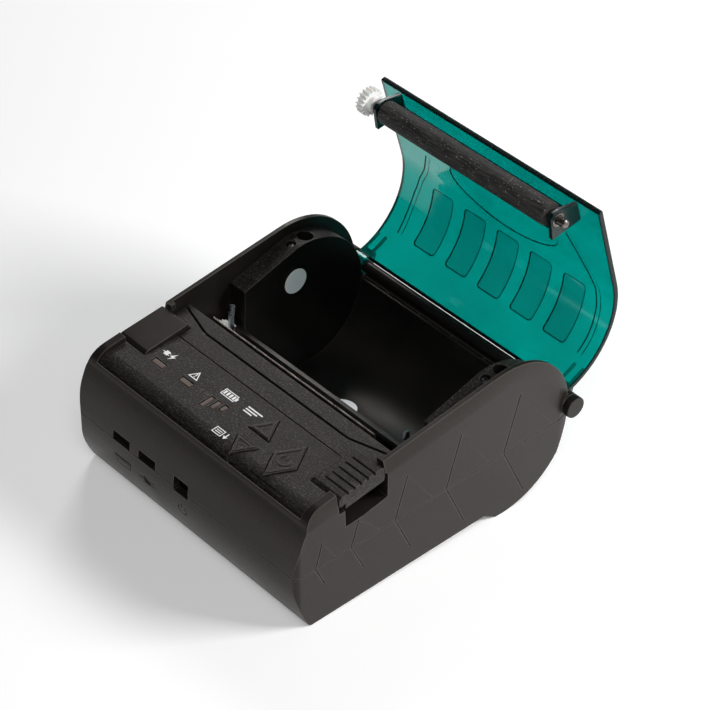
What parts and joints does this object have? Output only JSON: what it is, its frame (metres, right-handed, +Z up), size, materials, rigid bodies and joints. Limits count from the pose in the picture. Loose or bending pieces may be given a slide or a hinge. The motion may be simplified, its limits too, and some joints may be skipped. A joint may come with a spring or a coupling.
{
  "type": "receipt printer",
  "caption": "Portable thermal receipt printer with a drum-ended black case, open tinted lid carrying a rubber platen roller, empty paper bay, keys, lamps and a tear bar.",
  "frame": {"origin": "centre of the footprint box, on the surface that the printer stands on", "axes": "+X to the user's right, along the roller; +Y from the port face to the lid's hinge; +Z up"},
  "size_m": [0.114, 0.1422, 0.1041],
  "materials": {
    "case_black": "satin moulded ABS, near black",
    "deck_grain": "fine grained moulded ABS, near black",
    "bay_black": "smooth moulded ABS, black",
    "lid_teal": "tinted clear polycarbonate, teal",
    "platen_rubber": "ground black rubber",
    "gear_nylon": "natural white nylon",
    "bright_steel": "zinc plated",
    "dark_steel": "dark plated",
    "sink_alloy": "extruded",
    "window_amber": "dark tinted light pipe",
    "board_green": "solder mask",
    "battery_wrap": "heat-shrink wrap",
    "label_white": "white paper label or ceramic"
  },
  "bodies": {
    "base": {"lower_case": "case_black", "upper_case": "case_black", "side_pad": "case_black", "front_deck": "deck_grain", "rear_deck": "deck_grain", "head_cover": "deck_grain", "charge_window": "window_amber", "error_window": "window_amber", "level_window_1": "window_amber", "level_window_2": "window_amber", "level_window_3": "window_amber", "tear_bar": "dark_steel", "print_head": "label_white", "heat_sink": "sink_alloy", "head_frame": "bright_steel", "head_spring_left": "bright_steel", "head_spring_right": "bright_steel", "bay_tray": "bay_black", "left_cheek": "bay_black", "right_cheek": "bay_black", "left_cheek_screw": "dark_steel", "right_cheek_screw": "dark_steel", "left_well_screw": "dark_steel", "right_well_screw": "dark_steel", "circuit_board": "board_green", "data_socket": "dark_steel", "usb_socket": "dark_steel", "power_jack": "bay_black", "battery_pack": "battery_wrap", "feed_motor": "dark_steel", "idler_axle": "bright_steel", "hinge_rod": "bay_black", "left_sticker": "label_white", "floor_sticker": "label_white", "case_screw_1": "dark_steel", "case_screw_2": "dark_steel", "case_screw_3": "dark_steel", "case_screw_4": "dark_steel"},
    "lid": {"lid": "lid_teal", "roller_carrier": "lid_teal", "bearing_left": "gear_nylon", "bearing_right": "bright_steel"},
    "platen": {"platen_roller": "platen_rubber", "platen_shaft": "bright_steel", "platen_gear": "gear_nylon"},
    "lever": {"release_lever": "deck_grain"},
    "latch": {"latch_shaft": "bright_steel", "latch_hook_left": "bright_steel", "latch_hook_right": "bright_steel"},
    "mode_key": {"mode_button": "deck_grain"},
    "feed_key": {"feed_button": "deck_grain"},
    "power_key": {"power_button": "deck_grain"},
    "idler": {"idler_gear": "gear_nylon"},
    "pinion": {"motor_pinion": "gear_nylon"}
  },
  "joints": [
    {"name": "lid_hinge", "type": "hinge", "parent": "base", "child": "lid", "pos_m": [0, 0.04876, 0.03134], "axis": [1, 0, 0], "range_deg": [0, 81]},
    {"name": "platen_spin", "type": "hinge", "parent": "lid", "child": "platen", "pos_m": [0, 0.04782, 0.0991], "axis": [1, 0, 0], "continuous": true},
    {"name": "lever_lift", "type": "hinge", "parent": "base", "child": "lever", "pos_m": [0.048, -0.05245, 0.04598], "axis": [1, 0, 0], "range_deg": [0, 8], "stiffness_Nm_per_rad": 0.06, "springref_deg": -5.73},
    {"name": "latch_turn", "type": "hinge", "parent": "base", "child": "latch", "pos_m": [0, -0.01673, 0.02968], "axis": [1, 0, 0], "range_deg": [-10, 0]},
    {"name": "mode_press", "type": "slide", "parent": "base", "child": "mode_key", "axis": [0, 0.0871, -0.9962], "range_m": [0, 0.0006], "stiffness_N_per_m": 400, "springref_m": -0.0006},
    {"name": "feed_press", "type": "slide", "parent": "base", "child": "feed_key", "axis": [0, 0.0871, -0.9962], "range_m": [0, 0.0006], "stiffness_N_per_m": 400, "springref_m": -0.0006},
    {"name": "power_press", "type": "slide", "parent": "base", "child": "power_key", "axis": [0, 0.0871, -0.9962], "range_m": [0, 0.0006], "stiffness_N_per_m": 400, "springref_m": -0.0006},
    {"name": "idler_spin", "type": "hinge", "parent": "base", "child": "idler", "pos_m": [-0.047, -0.01774, 0.02753], "axis": [1, 0, 0], "continuous": true},
    {"name": "pinion_spin", "type": "hinge", "parent": "base", "child": "pinion", "pos_m": [-0.047, -0.02843, 0.02208], "axis": [1, 0, 0], "continuous": true}
  ],
  "couplings": [
    {"joint": "latch_turn", "follows": "lever_lift", "ratio": -1.2},
    {"joint": "pinion_spin", "follows": "idler_spin", "ratio": -3}
  ]
}
